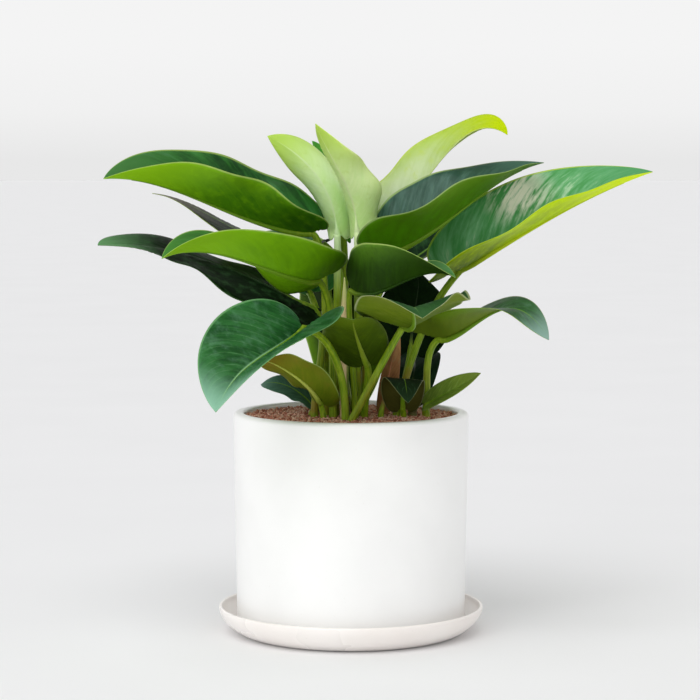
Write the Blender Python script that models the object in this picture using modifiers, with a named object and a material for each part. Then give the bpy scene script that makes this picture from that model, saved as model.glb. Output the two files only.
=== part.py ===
"""Potted philodendron: a leafy plant in a white cylindrical pot that stands on its saucer.

Metres, +Z up.  The origin is the middle of the saucer's underside and -Y is the front.
Leaf sizes are given in millimetres and degrees and are turned into metres where they are used.
"""
from math import cos, pi, radians

import bmesh
import bpy
import numpy as np
from mathutils import Vector, noise

MM = 0.001
GAP = 0.0003                      # clearance between touching pieces
ROUND_STEPS = 48                  # facets around the pot and the saucer

SAUCER_HEIGHT = 0.030
SAUCER_RIM_RADIUS = 0.1465
SAUCER_BASE_RADIUS = 0.118
SAUCER_FLOOR = 0.005
SAUCER_WALL = 0.0035
SAUCER_BULGE = 0.7                # how early the side of the saucer starts to rise

POT_BOTTOM = SAUCER_FLOOR + GAP
POT_TOP = 0.245
POT_TOP_RADIUS = 0.130
POT_BOTTOM_RADIUS = 0.1265
POT_WALL = 0.012
POT_FLOOR = 0.014
POT_CORNER = 0.011                # rounded corner at the foot of the pot
POT_INNER_CORNER = 0.006
LIP_ROUND = 0.005                 # outer round of the lip at the top of the wall
LIP_INNER_ROUND = 0.003

SOIL_TOP = 0.241                  # highest point of the clay granules
MIX_TOP = 0.2305                  # top of the growing mix under the granules
RELIEF_DEPTH = 0.0022             # granule relief stays below SOIL_TOP by up to this much
ROOT_DEPTH = 0.018                # how far each stalk goes into the pot's filling
ROOT_MIDDLE = 0.45                # share of that depth where the root has its second point

BLADE_THICKNESS = 0.0010
STATIONS = 80                     # even stations along a midrib
BLUNT = 0.42                      # roundness of the blade near the stalk
TAPER = 0.85                      # how the blade runs out to its tip
WAVES = 2.5                       # waves along one margin
LOBES = (0.09, 0.09)              # how far the basal lobes reach back, left and right, share of length
LOBE_RISE = 0.3                   # the pull of the lobes starts steeply at the collar
LOBE_FALL = 6                     # and dies out towards the tip
SWEEP = 1.5                       # how late a line across the blade bends back to its lobe
BLADE_START = 0.012               # the blade begins at this share of the midrib
ROW_SPREAD = 1.35                 # rows lie closer together near the stalk
TIP_HALF_WIDTH = 0.0008
FLAT_CURL = 0.06                  # least curl in degrees, so a flat blade needs no case of its own
LARGE_BLADE = 50                  # half width in mm from which a blade gets the finer grid
LARGE_GRID = (11, 3)              # rows and columns on each side of the midrib
SMALL_GRID = (9, 2)

STALK_RADII = (0.0042, 0.0034)    # at the foot and at the collar
SLIM_STALK_RADII = (0.0034, 0.0027)
SLIM_BLADE = 30                   # half width in mm under which the stalk is slim
STALK_POINTS = 7
STALK_LEAN = 0.55
STALK_REACH = (0.38, 0.30)        # bow of the stalk near its foot and near the collar
LEAST_RISE = 0.4                  # a stalk always leaves its foot at least this steeply
STALK_TURN = 0.6                  # share of the midrib's direction in the stalk's last stretch
RIB_SHARE = 0.16                  # the stalk goes on under this share of the blade
RIB_POINTS = 5
RIB_END_RADIUS = 0.0009

HOLE_SIDES = 8
HOLE_RISE = 0.010                 # the hole cutters stand this far above the granules
MIX_CORNER = 0.0065               # slope at the foot of the filling
RELIEF_SCALE = 60                 # bumps a metre in the granule relief
RELIEF_RINGS = (0, 0.36, 0.60, 0.82, 1.0)

GREEN = (0.045, 0.160, 0.050)
DEEP_GREEN = (0.020, 0.085, 0.035)
LIGHT_GREEN = (0.170, 0.370, 0.080)
PALE_GREEN = (0.420, 0.600, 0.230)

# foot: where the stalk leaves the granules (x, y); collar and tip: ends of the midrib;
# lift and sway: how far the midrib bows up and sideways at one and two thirds of its chord;
# width: half the blade; roll: turn of the blade about its midrib at the collar and the tip;
# fold_left and fold_right: rise of each half from the midrib; curl: extra bend of (left, right);
# wave: margin waves of (left, right); lobe: basal lobes of (left, right); blunt: as BLUNT;
# right_share: right half's width as a share of the left's; lean: how soon the stalk leans out;
# reach: bow of the stalk.
LEAVES = {
    "leaf_upper_left": dict(
        foot=(-27.5, 2.5), collar=(-42, 5, 441), tip=(-264, -75, 502), lift=(-13, 26),
        sway=(25, 29), width=66, roll=(20, 12), fold_left=(43, 47), fold_right=(32, 42),
        curl=(15, 7), curl_tip=(40, 20), wave=(-4.5, 5), lobe=(0.09, 0.075), blunt=0.45,
        reach=(0.38, 0.12)),
    "leaf_rear_left_tip": dict(
        foot=(-24, 12), collar=(-38, 60, 431), tip=(-226, 96, 484), lift=(-42, 9), sway=(0, 10),
        width=50, roll=(3, -4), fold_left=(-5, 4), fold_right=(-4, 3), curl=(-12, -12),
        curl_tip=(-10, -16), wave=(0.5, 2), colour=DEEP_GREEN),
    "leaf_long_left": dict(
        foot=(-40, -10), collar=(-42, -5, 360), tip=(-274, -42, 430), lift=(15, 30), sway=(5, 76),
        width=68, roll=(2, 11), fold_left=(-24, 8), fold_right=(-2, 8), curl=(0, 0),
        curl_tip=(0, 0), wave=(4, -4.5), lobe=(0.12, 0.12)),
    "leaf_front_left": dict(
        foot=(-20, -18), collar=(-35, -50, 392), tip=(-196, -156, 420), lift=(-10, 34),
        sway=(-33, 9), width=53, roll=(1, 23), fold_left=(41, 54), fold_right=(-30, 48),
        curl=(12, 19), curl_tip=(-1, 20), wave=(-1, 1), lobe=(0.16, 0.16), lean=0.2),
    "leaf_drooping_left": dict(
        foot=(-6, -42), collar=(-51, -100, 344), tip=(-133, -298, 275), lift=(-6, 24),
        sway=(11, 7), width=62, roll=(28, -2), fold_left=(44, 27), fold_right=(42, 22),
        curl=(0, 0), curl_tip=(0, 0), wave=(0, 0.5), lobe=(0.22, 0.02), blunt=0.52, lean=0.0,
        reach=(0.5, 0.34)),
    "leaf_small_left": dict(
        foot=(-30, -28), collar=(-33, -30, 256), tip=(-93, -90, 308), lift=(9, 19), sway=(-15, 33),
        width=28, roll=(27, 6), fold_left=(35, 19), fold_right=(16, -1), curl=(0, 0),
        curl_tip=(0, 0), wave=(-2.5, 2.5)),
    "leaf_low_left": dict(
        foot=(-44, 12), collar=(-42, 20, 247), tip=(-101, 48, 270), lift=(10, 20), sway=(12, -16),
        width=21, roll=(-22, 8), fold_left=(0, -4), fold_right=(4, 5), curl=(0, 0),
        curl_tip=(0, 0), wave=(1, 0), colour=DEEP_GREEN),
    "leaf_young_left": dict(
        foot=(-17, 1), collar=(-15, 0, 440), tip=(-91, -12, 548), lift=(27, 24), sway=(-3, 4),
        width=36, roll=(-42, -58), fold_left=(20, 4), fold_right=(20, 4), curl=(96, 100),
        curl_tip=(60, 56), wave=(-0.5, 0.5), lobe=(0.07, 0.07), right_share=0.8,
        reach=(0.38, 0.12), colour=PALE_GREEN),
    "leaf_behind_young": dict(
        foot=(-8, 24), collar=(-9, 65, 439), tip=(-43, 38, 543), lift=(0, 5), sway=(0, 0),
        width=47, roll=(40, 56), fold_left=(15, 10), fold_right=(8, 8), curl=(0, 0),
        curl_tip=(0, 0), wave=(0, 1.5), reach=(0.38, 0.12)),
    "leaf_young_middle": dict(
        foot=(7, -10), collar=(7, -20, 443), tip=(-38, -51, 561), lift=(20, -8), sway=(1, -14),
        width=35, roll=(-79, -57), fold_left=(12, 2), fold_right=(12, 2), curl=(100, 88),
        curl_tip=(50, 52), wave=(5, 0.5), lobe=(0.08, 0.08), colour=PALE_GREEN),
    "leaf_young_right": dict(
        foot=(4, 15), collar=(20, 55, 442), tip=(167, -68, 549), lift=(-44, 89), sway=(31, -44),
        width=43, roll=(14, 97), fold_left=(95, 95), fold_right=(20, 47), curl=(10, 10),
        curl_tip=(10, 13), wave=(0, -6), lobe=(0.07, 0.07), reach=(0.38, 0.08), colour=LIGHT_GREEN),
    "leaf_upper_right": dict(
        foot=(14, 4), collar=(42, -15, 420), tip=(212, 5, 519), lift=(-6, 21), sway=(54, 22),
        width=64, roll=(-25, -37), fold_left=(53, 16), fold_right=(58, 13), curl=(19, 0),
        curl_tip=(2, -2), wave=(2.5, 5.5), lobe=(0.12, 0.12)),
    "leaf_long_right": dict(
        foot=(50, 4), collar=(122, 20, 400), tip=(332, 6, 509), lift=(6, 11), sway=(32, -1),
        width=60, roll=(-55, -46), fold_left=(43, 21), fold_right=(58, 46), curl=(13, 0),
        curl_tip=(7, 0), wave=(0, 3.5), lobe=(0.15, 0.15)),
    "leaf_front_right": dict(
        foot=(5, -20), collar=(0, -35, 381), tip=(106, -217, 403), lift=(-23, 26), sway=(4, 0),
        width=28, roll=(38, 5), fold_left=(62, 66), fold_right=(36, 21), curl=(0, 17),
        curl_tip=(0, 24), wave=(0, -1.5), lobe=(0.06, 0.055), right_share=1.98, reach=(0.38, 0.12)),
    "leaf_front_low_right": dict(
        foot=(1, -52), collar=(57, -62, 343), tip=(70, -293, 367), lift=(-12, 35), sway=(-17, 14),
        width=64, roll=(-24, 3), fold_left=(9, 7), fold_right=(39, 18), curl=(0, 0),
        curl_tip=(0, 0), wave=(-7.5, 1.5), lobe=(0.11, 0.11), lean=1.0, reach=(0.3, 0.1)),
    "leaf_arching_right": dict(
        foot=(83, 4), collar=(97, 8, 324), tip=(214, -53, 328), lift=(1, 77), sway=(6, 2),
        width=38, roll=(7, -26), fold_left=(38, -3), fold_right=(44, -11), curl=(0, 0),
        curl_tip=(0, 0), wave=(-0.5, -1), lobe=(0.15, 0.26), right_share=1.15),
    "leaf_dark_rear": dict(
        foot=(54, 18), collar=(67, 48, 308), tip=(78, 114, 394), lift=(21, 14), sway=(1, 6),
        width=42, roll=(-17, -35), fold_left=(5, 3), fold_right=(11, -3), curl=(0, 0),
        curl_tip=(0, 0), wave=(0, -2), colour=DEEP_GREEN),
    "leaf_front_cupped": dict(
        foot=(14.5, -16.5), collar=(18, -37, 299), tip=(2, -131, 355), lift=(11, 13), sway=(7, 7),
        width=32, roll=(-17, -25), fold_left=(10, 14), fold_right=(14, 32), curl=(6, 7),
        curl_tip=(11, 0), wave=(0, 4.5), lobe=(0.05, 0.05), right_share=1.3, colour=LIGHT_GREEN),
    "leaf_low_right": dict(
        foot=(84, -14), collar=(83, -10, 253), tip=(141, -43, 291), lift=(1, -1), sway=(1, -8),
        width=16, roll=(-52, -59), fold_left=(17, 20), fold_right=(20, 20), curl=(0, 0),
        curl_tip=(0, 0), wave=(0, 0)),
    "leaf_curled_low": dict(
        foot=(58, -13), collar=(57, -19, 251), tip=(61, -90, 263), lift=(34, 42), sway=(2, 2),
        width=24, roll=(-2, 2), fold_left=(0, 0), fold_right=(0, 0), curl=(0, 0), curl_tip=(0, 0),
        wave=(0, 0)),
    "leaf_low_rear_right": dict(
        foot=(68, 48), collar=(66, 62, 254), tip=(82, 160, 320), lift=(48, -34), sway=(14, -15),
        width=32, roll=(-45, -57), fold_left=(9, 7), fold_right=(15, 9), curl=(0, 0),
        curl_tip=(0, 0), wave=(0, 0), colour=DEEP_GREEN),
    "leaf_back_left": dict(
        foot=(-22, 28), collar=(-46, 66, 372), tip=(-165, 232, 420), lift=(20, 34), sway=(6, 10),
        width=56, roll=(6, -8), fold_left=(26, 18), fold_right=(26, 18), curl=(12, 12),
        curl_tip=(6, 6), wave=(2, -2)),
    "leaf_back_middle": dict(
        foot=(12, 30), collar=(40, 72, 386), tip=(170, 210, 446), lift=(10, 26), sway=(0, 8),
        width=50, roll=(-6, -10), fold_left=(24, 16), fold_right=(24, 16), curl=(10, 10),
        curl_tip=(6, 6), wave=(-2, 2)),
    "leaf_back_low": dict(
        foot=(-2, 50), collar=(-26, 92, 377), tip=(-2, 150, 214), lift=(10, 14), sway=(0, 0),
        width=57, roll=(0, 0), fold_left=(20, 12), fold_right=(20, 12), curl=(8, 8),
        curl_tip=(4, 4), wave=(1.5, -1.5)),
    "leaf_sheath": dict(
        foot=(33, -14), collar=(34, -15, 249), tip=(54, -18, 331), lift=(0, 4), sway=(0, 0),
        width=12, roll=(-80, -80), fold_left=(-25, -20), fold_right=(-25, -20), curl=(-10, -10),
        curl_tip=(0, 0), wave=(0, 0)),
}

SPEAR = dict(foot=(-7.5, -15), middle=(-6.5, -16, 330), tip=(-7, -23, 394), radii=(4.4, 5.0, 4.2, 0.8))

STEMS = {
    "stem_main": dict(foot=(-6, 9), top=262, radius=6.3, rings=3),
    "stem_side": dict(foot=(68, 4), top=258, radius=5.8, rings=2),
}
STEM_RING = ((0.35, 0.86), (0.80, 0.97))    # height within one ring and share of the radius there
STEM_TIP = 0.6


for old in list(bpy.data.objects):
    bpy.data.objects.remove(old, do_unlink=True)

model = bpy.data.collections.new("potted_philodendron")
helpers = bpy.data.collections.new("cutters")
bpy.context.scene.collection.children.link(model)
bpy.context.scene.collection.children.link(helpers)


def principled(name, colour, roughness):
    material = bpy.data.materials.new(name)
    material.use_nodes = True
    shader = material.node_tree.nodes["Principled BSDF"]
    shader.inputs["Base Color"].default_value = (*colour, 1.0)
    shader.inputs["Roughness"].default_value = roughness
    shader.inputs["Metallic"].default_value = 0.0
    material.diffuse_color = (*colour, 1.0)
    return material


def place(name, mesh, location, colour=None, roughness=0.4):
    """A model object when it has a colour, otherwise a hidden helper."""
    thing = bpy.data.objects.new(name, mesh)
    thing.location = location
    if colour is None:
        helpers.objects.link(thing)
        thing.hide_render = True
        thing.display_type = "WIRE"
        return thing
    model.objects.link(thing)
    mesh.materials.append(principled(name + "_finish", colour, roughness))
    return thing


def smooth(mesh, angle=35):
    mesh.shade_smooth()
    mesh.set_sharp_from_angle(angle=radians(angle))


def boolean(thing, other, operation):
    modifier = thing.modifiers.new(operation.lower(), "BOOLEAN")
    modifier.operation = operation
    modifier.solver = "EXACT"
    modifier.object = other
    return modifier


def unit(v):
    return v / np.maximum(np.linalg.norm(v, axis=-1, keepdims=True), 1e-12)


def bezier(p0, p1, p2, p3, count):
    t = np.linspace(0, 1, count)[:, None]
    return (1 - t) ** 3 * p0 + 3 * (1 - t) ** 2 * t * p1 + 3 * (1 - t) * t * t * p2 + t ** 3 * p3


def hump(share, rise, fall):
    """Climbs from 0 to 1 and falls back to 0 at a share of 1, as steeply as rise and fall say."""
    peak = rise / (rise + fall)
    return (share / peak) ** rise * (np.maximum(1 - share, 0) / (1 - peak)) ** fall


def even_points(points, count):
    steps = np.linalg.norm(np.diff(points, axis=0), axis=1)
    along = np.concatenate([[0.0], np.cumsum(steps)])
    wanted = np.linspace(0, along[-1], count)
    return np.stack([np.interp(wanted, along, points[:, k]) for k in range(3)], axis=1)


class Midrib:
    """The midrib of one leaf with a side and a top direction carried along it."""

    def __init__(self, size):
        collar = np.array(size["collar"]) * MM
        tip = np.array(size["tip"]) * MM
        chord = tip - collar
        along = unit(chord)
        side = unit(np.cross(along, (0, 0, 1)))
        up = np.cross(side, along)
        lift = np.array(size["lift"]) * MM
        sway = np.array(size["sway"]) * MM
        first = collar + chord / 3 + up * lift[0] + side * sway[0]
        second = collar + chord * 2 / 3 + up * lift[1] + side * sway[1]
        self.size = size
        self.points = even_points(bezier(collar, first, second, tip, 200), STATIONS)
        self.ahead = unit(np.gradient(self.points, axis=0))
        sides = [unit(np.cross(self.ahead[0], (0, 0, 1)))]
        for direction in self.ahead[1:]:
            sides.append(unit(sides[-1] - direction * (sides[-1] @ direction)))
        sides = np.array(sides)
        tops = np.cross(sides, self.ahead)
        turn = np.radians(np.linspace(size["roll"][0], size["roll"][1], STATIONS))[:, None]
        self.side = sides * np.cos(turn) + tops * np.sin(turn)
        self.top = np.cross(self.side, self.ahead)

    def at(self, table, share):
        stations = np.linspace(0, 1, STATIONS)
        return np.stack([np.interp(share, stations, table[:, k]) for k in range(3)], axis=-1)

    def surface(self, share, reach, hand):
        """Points at a share of the length and a distance from the midrib; hand is -1 or 1."""
        size = self.size
        half = self.half_width(hand)
        length = np.linalg.norm(np.diff(self.points, axis=0), axis=1).sum()
        on_rib = np.clip(share, 0, 1)
        rib = self.at(self.points, share)
        rib = rib + self.at(self.ahead, share) * (np.minimum(share, 0) * length)[..., None]
        out_way = self.at(self.side, share) * hand
        top_way = self.at(self.top, share)
        fold = size["fold_right"] if hand > 0 else size["fold_left"]
        which = 1 if hand > 0 else 0
        start = np.radians(fold[0] + (fold[1] - fold[0]) * on_rib)
        curl = size["curl"][which] + (size["curl_tip"][which] - size["curl"][which]) * on_rib
        bend = np.radians(np.where(np.abs(curl) < FLAT_CURL, FLAT_CURL, curl)) / half
        angle = start + bend * reach
        out = (np.sin(angle) - np.sin(start)) / bend
        rise = (np.cos(start) - np.cos(angle)) / bend
        wave = size["wave"][which] * MM * np.sin(2 * pi * WAVES * share) * (reach / half) ** 2
        out = out - wave * np.sin(angle)
        rise = rise + wave * np.cos(angle)
        return rib + out_way * out[..., None] + top_way * rise[..., None]

    def half_width(self, hand):
        share = self.size.get("right_share", 1.0) if hand > 0 else 1.0
        return self.size["width"] * MM * share

    def grid(self, rows, columns):
        """Blade points, rows from the collar to the tip and columns from left to right."""
        share = BLADE_START + (1 - BLADE_START) * np.linspace(0, 1, rows) ** ROW_SPREAD
        width = hump(share, self.size.get("blunt", BLUNT), TAPER)
        pull = hump(share, LOBE_RISE, LOBE_FALL)
        across = np.linspace(0, 1, columns + 1)
        halves = []
        for hand, lobe in zip((-1, 1), self.size.get("lobe", LOBES)):
            place_along = share[:, None] - lobe * pull[:, None] * across[None] ** SWEEP
            half = np.maximum(width * self.half_width(hand), TIP_HALF_WIDTH)
            reach = half[:, None] * across[None]
            halves.append(self.surface(place_along, reach, hand))
        return np.concatenate([halves[0][:, ::-1], halves[1][:, 1:]], axis=1)


def tube(name, points, radii, foot, sides_level=1):
    """A tapered round stalk as a closed mesh, from a curve with a radius at each point."""
    curve = bpy.data.curves.new(name, "CURVE")
    curve.dimensions = "3D"
    curve.bevel_depth = 1.0
    curve.bevel_resolution = sides_level
    curve.use_fill_caps = True
    spline = curve.splines.new("POLY")
    spline.points.add(len(points) - 1)
    for slot, point, radius in zip(spline.points, points, radii):
        slot.co = (*(Vector(point) - foot), 1.0)
        slot.radius = radius
    guide = bpy.data.objects.new(name + "_guide", curve)
    guide.location = foot
    helpers.objects.link(guide)
    bpy.context.view_layer.update()
    evaluated = guide.evaluated_get(bpy.context.evaluated_depsgraph_get())
    mesh = bpy.data.meshes.new_from_object(evaluated)
    mesh.name = name
    bpy.data.objects.remove(guide, do_unlink=True)
    body = bmesh.new()
    body.from_mesh(mesh)
    bmesh.ops.remove_doubles(body, verts=body.verts, dist=1e-6)
    bmesh.ops.recalc_face_normals(body, faces=body.faces)
    body.to_mesh(mesh)
    body.free()
    return mesh


def root_points(foot):
    """Two points straight down in the filling."""
    return [foot - Vector((0, 0, ROOT_DEPTH)), foot - Vector((0, 0, ROOT_DEPTH * ROOT_MIDDLE))]


def stalk_points(size, rib, foot):
    """Stalk from the root to the collar, bowed out from upright."""
    collar = rib.points[0]
    start = np.array(foot)
    straight = unit(collar - start)
    lean = size.get("lean", STALK_LEAN)
    reach = size.get("reach", STALK_REACH)
    height = np.linalg.norm(collar - start)
    leave = unit(np.array((straight[0] * lean, straight[1] * lean, max(straight[2], LEAST_RISE))))
    arrive = unit(rib.ahead[0] * STALK_TURN + straight * (1 - STALK_TURN))
    bow = bezier(start, start + leave * height * reach[0], collar - arrive * height * reach[1],
                 collar, STALK_POINTS)
    return [*root_points(foot), *bow]


def blade_sheet(name, rib, foot, rows, columns):
    """The blade as an open sheet of triangles around its midrib."""
    grid = rib.grid(rows, columns) - np.array(foot)
    sheet = bmesh.new()
    corners = [[sheet.verts.new(point) for point in row] for row in grid]
    for low, high in zip(corners, corners[1:]):
        for k in range(len(low) - 1):
            sheet.faces.new((low[k], low[k + 1], high[k + 1]))
            sheet.faces.new((low[k], high[k + 1], high[k]))
    mesh = bpy.data.meshes.new(name)
    sheet.to_mesh(mesh)
    sheet.free()
    return mesh


def leaf(name, size):
    """A blade of even thickness joined to its round stalk."""
    foot = Vector((size["foot"][0] * MM, size["foot"][1] * MM, SOIL_TOP))
    rib = Midrib(size)
    rows, columns = LARGE_GRID if size["width"] >= LARGE_BLADE else SMALL_GRID
    sheet = blade_sheet(name, rib, foot, rows, columns)
    smooth(sheet, 50)
    thing = place(name, sheet, foot, size.get("colour", GREEN), 0.32)
    solid = thing.modifiers.new("thickness", "SOLIDIFY")
    solid.thickness = BLADE_THICKNESS
    solid.offset = 0.0
    solid.use_even_offset = False
    thick, thin = stalk_radii(size)
    stalk = stalk_points(size, rib, foot)
    stations = np.linspace(0, int(STATIONS * RIB_SHARE), RIB_POINTS).astype(int)
    under_blade = rib.points[stations][1:]
    along_stalk = np.linspace(thick, thin, STALK_POINTS)
    along_rib = np.linspace(thin, RIB_END_RADIUS, RIB_POINTS)[1:]
    radii = [thick, thick, *along_stalk, *along_rib]
    body = place(name + "_stalk", tube(name + "_stalk", [*stalk, *under_blade], radii, foot), foot)
    boolean(thing, body, "UNION")
    return thing


def stalk_radii(size):
    """Radius at the foot and at the collar."""
    return SLIM_STALK_RADII if size["width"] < SLIM_BLADE else STALK_RADII


def turned(name, profile, colour=None, roughness=0.4):
    """A turned piece from a profile that runs down its outer side and back up its inside."""
    mesh = bpy.data.meshes.new(name)
    edges = [(k, k + 1) for k in range(len(profile) - 1)]
    mesh.from_pydata([(r, 0, z) for r, z in profile], edges, [])
    thing = place(name, mesh, (0, 0, 0), colour, roughness)
    screw = thing.modifiers.new("turn", "SCREW")
    screw.steps = ROUND_STEPS
    screw.render_steps = ROUND_STEPS
    screw.use_merge_vertices = True
    screw.merge_threshold = 1e-5
    screw.use_normal_calculate = True
    return thing


def arc(centre, radius, start, stop, count):
    """Points on a quarter round in the profile plane, angles in degrees."""
    angles = np.radians(np.linspace(start, stop, count))
    return [(centre[0] + radius * np.cos(a), centre[1] + radius * np.sin(a)) for a in angles]


def offset(profile, distance):
    """The profile moved sideways, to its right as it runs."""
    points = np.array(profile)
    along = unit(np.gradient(points, axis=0))
    return [tuple(p + distance * np.array((t[1], -t[0]))) for p, t in zip(points, along)]


def saucer():
    """A shallow dish whose side swells out and up from a flat base."""
    spread = SAUCER_RIM_RADIUS - SAUCER_BASE_RADIUS
    rise = SAUCER_HEIGHT - SAUCER_WALL / 2
    side = []
    for angle in np.radians((90, 68, 50, 34, 20, 8)):
        bulge = (1 - np.cos(angle)) ** SAUCER_BULGE
        side.append((SAUCER_BASE_RADIUS + spread * np.sin(angle), rise * bulge))
    inside = [p for p in offset(side, SAUCER_WALL)[1:] if p[1] > SAUCER_FLOOR + 0.001]
    edge = arc((SAUCER_RIM_RADIUS - SAUCER_WALL / 2, rise), SAUCER_WALL / 2, 180, 0, 5)[:-1]
    floor = [(0, SAUCER_FLOOR), (SAUCER_BASE_RADIUS + 0.003, SAUCER_FLOOR)]
    base = [(SAUCER_BASE_RADIUS, 0), (0, 0)]
    profile = [*edge, *side, *base, *floor, *inside[::-1], edge[0]]
    return turned("saucer", profile, (0.80, 0.79, 0.77), 0.28)


def pot():
    top, low = POT_TOP_RADIUS, POT_BOTTOM_RADIUS
    inside = POT_TOP_RADIUS - POT_WALL
    lip = arc((top - LIP_ROUND, POT_TOP - LIP_ROUND), LIP_ROUND, 90, 0, 4)
    corner = arc((low - POT_CORNER, POT_BOTTOM + POT_CORNER), POT_CORNER, 0, -90, 4)
    inner = [(inside - POT_INNER_CORNER, POT_FLOOR), (inside, POT_FLOOR + POT_INNER_CORNER)]
    back = arc((inside + LIP_INNER_ROUND, POT_TOP - LIP_INNER_ROUND), LIP_INNER_ROUND, 180, 90, 3)
    profile = [*lip, *corner, (0, POT_BOTTOM), (0, POT_FLOOR), *inner, *back, lip[0]]
    return turned("pot", profile, (0.82, 0.82, 0.81), 0.24)


def hole_cutter():
    """Upright prisms a little wider than each stalk, for its plain hole in the filling."""
    holes = bmesh.new()
    places = [(size["foot"], stalk_radii(size)[0]) for size in LEAVES.values()]
    places.append((SPEAR["foot"], SPEAR["radii"][0] * MM))
    places.extend((size["foot"], size["radius"] * MM) for size in STEMS.values())
    bottom, top = SOIL_TOP - ROOT_DEPTH - GAP, SOIL_TOP + HOLE_RISE
    for foot, radius in places:
        corner = (radius + GAP) / cos(pi / HOLE_SIDES)
        made = bmesh.ops.create_cone(holes, cap_ends=True, segments=HOLE_SIDES, radius1=corner,
                                     radius2=corner, depth=top - bottom)
        middle = (foot[0] * MM, foot[1] * MM, (top + bottom) / 2)
        bmesh.ops.translate(holes, vec=middle, verts=made["verts"])
    mesh = bpy.data.meshes.new("stalk_holes")
    holes.to_mesh(mesh)
    holes.free()
    return place("stalk_holes", mesh, (0, 0, 0))


def growing_mix(holes):
    """The pot's filling under the granules, with the lower ends of the stalk holes."""
    radius = POT_TOP_RADIUS - POT_WALL - GAP * 1.5
    low = POT_FLOOR + GAP
    corner = [(radius, low + MIX_CORNER), (radius - MIX_CORNER, low)]
    profile = [(0, MIX_TOP), (radius, MIX_TOP), *corner, (0, low)]
    thing = turned("growing_mix", profile, (0.075, 0.045, 0.030), 0.9)
    boolean(thing, holes, "DIFFERENCE")
    return thing


def clay_granules(holes):
    """The layer of clay granules: a flat underside and an uneven top below SOIL_TOP."""
    radius = POT_TOP_RADIUS - POT_WALL - GAP * 1.5
    top = [(radius * share, SOIL_TOP) for share in RELIEF_RINGS]
    low = MIX_TOP + GAP
    disc = turned("granule_disc", [*top, (radius, low), (0, low)])
    bpy.context.view_layer.update()
    evaluated = disc.evaluated_get(bpy.context.evaluated_depsgraph_get())
    mesh = bpy.data.meshes.new_from_object(evaluated)
    mesh.name = "clay_granules"
    bpy.data.objects.remove(disc, do_unlink=True)
    body = bmesh.new()
    body.from_mesh(mesh)
    for vert in body.verts:
        if vert.co.z > SOIL_TOP - 1e-4:
            bump = noise.noise(vert.co * RELIEF_SCALE)
            vert.co.z -= RELIEF_DEPTH * (0.5 - 0.5 * bump)
    bmesh.ops.triangulate(body, faces=[f for f in body.faces if len(f.verts) == 4])
    body.to_mesh(mesh)
    body.free()
    thing = place("clay_granules", mesh, (0, 0, 0), (0.330, 0.150, 0.100), 0.85)
    boolean(thing, holes, "DIFFERENCE")
    return thing


def spear():
    """A new leaf still rolled up: a slim round spear."""
    foot = Vector((SPEAR["foot"][0] * MM, SPEAR["foot"][1] * MM, SOIL_TOP))
    middle = Vector(SPEAR["middle"]) * MM
    tip = Vector(SPEAR["tip"]) * MM
    low, wide, high, end = (r * MM for r in SPEAR["radii"])
    points = [*root_points(foot), foot, foot.lerp(middle, 0.5), middle, middle.lerp(tip, 0.5),
              middle.lerp(tip, 0.85), tip]
    radii = [low, low, low, low, wide, high, (high + end) / 2, end]
    mesh = tube("new_leaf_spear", points, radii, foot)
    smooth(mesh, 60)
    return place("new_leaf_spear", mesh, foot, (0.560, 0.520, 0.330), 0.45)


def stem(name, size):
    """A short thick stem with ring marks, ending under the stalks."""
    foot = Vector((size["foot"][0] * MM, size["foot"][1] * MM, SOIL_TOP))
    radius = size["radius"] * MM
    top = Vector((foot.x, foot.y, size["top"] * MM))
    points = [*root_points(foot), foot]
    radii = [radius, radius, radius]
    for k in range(size["rings"]):
        for share, part in STEM_RING:
            points.append(foot.lerp(top, (k + share) / size["rings"]))
            radii.append(radius * part)
    points.append(top)
    radii.append(radius * STEM_TIP)
    mesh = tube(name, points, radii, foot, 2)
    smooth(mesh, 50)
    return place(name, mesh, foot, (0.240, 0.230, 0.080), 0.6)


saucer()
pot()
cutter = hole_cutter()
growing_mix(cutter)
clay_granules(cutter)
for leaf_name, leaf_size in LEAVES.items():
    leaf(leaf_name, leaf_size)
spear()
for stem_name, stem_size in STEMS.items():
    stem(stem_name, stem_size)
bpy.context.view_layer.update()
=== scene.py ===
from math import atan, cos, pi, radians, sin

import bmesh
import bpy
import numpy as np
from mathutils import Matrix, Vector, noise


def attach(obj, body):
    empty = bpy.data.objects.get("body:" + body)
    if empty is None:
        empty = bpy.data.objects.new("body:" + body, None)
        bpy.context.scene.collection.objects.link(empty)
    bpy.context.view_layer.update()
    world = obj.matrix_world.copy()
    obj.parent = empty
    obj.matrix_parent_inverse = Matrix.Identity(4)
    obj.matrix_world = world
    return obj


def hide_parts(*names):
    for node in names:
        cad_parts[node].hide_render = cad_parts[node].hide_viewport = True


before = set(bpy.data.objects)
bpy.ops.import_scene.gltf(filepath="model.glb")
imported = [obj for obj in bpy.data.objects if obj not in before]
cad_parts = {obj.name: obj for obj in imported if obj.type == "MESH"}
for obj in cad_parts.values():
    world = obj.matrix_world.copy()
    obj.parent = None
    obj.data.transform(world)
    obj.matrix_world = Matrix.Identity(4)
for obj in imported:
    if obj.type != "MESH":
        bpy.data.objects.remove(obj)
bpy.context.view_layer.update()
print("frame loaded:", len(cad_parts), "nodes")

mm = 0.001


def addObject(name, data):
    made = bpy.data.objects.new(name, data)
    bpy.context.scene.collection.objects.link(made)
    return made


# camera at the photograph's viewing angle

photo = {"width": 700, "focal": 2435, "horizon": 160}    # all in pixels of a 700 x 700 picture
viewer = {"place": (-0.001, -2.680, 0.522), "sensor": 36, "far": 100}


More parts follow.
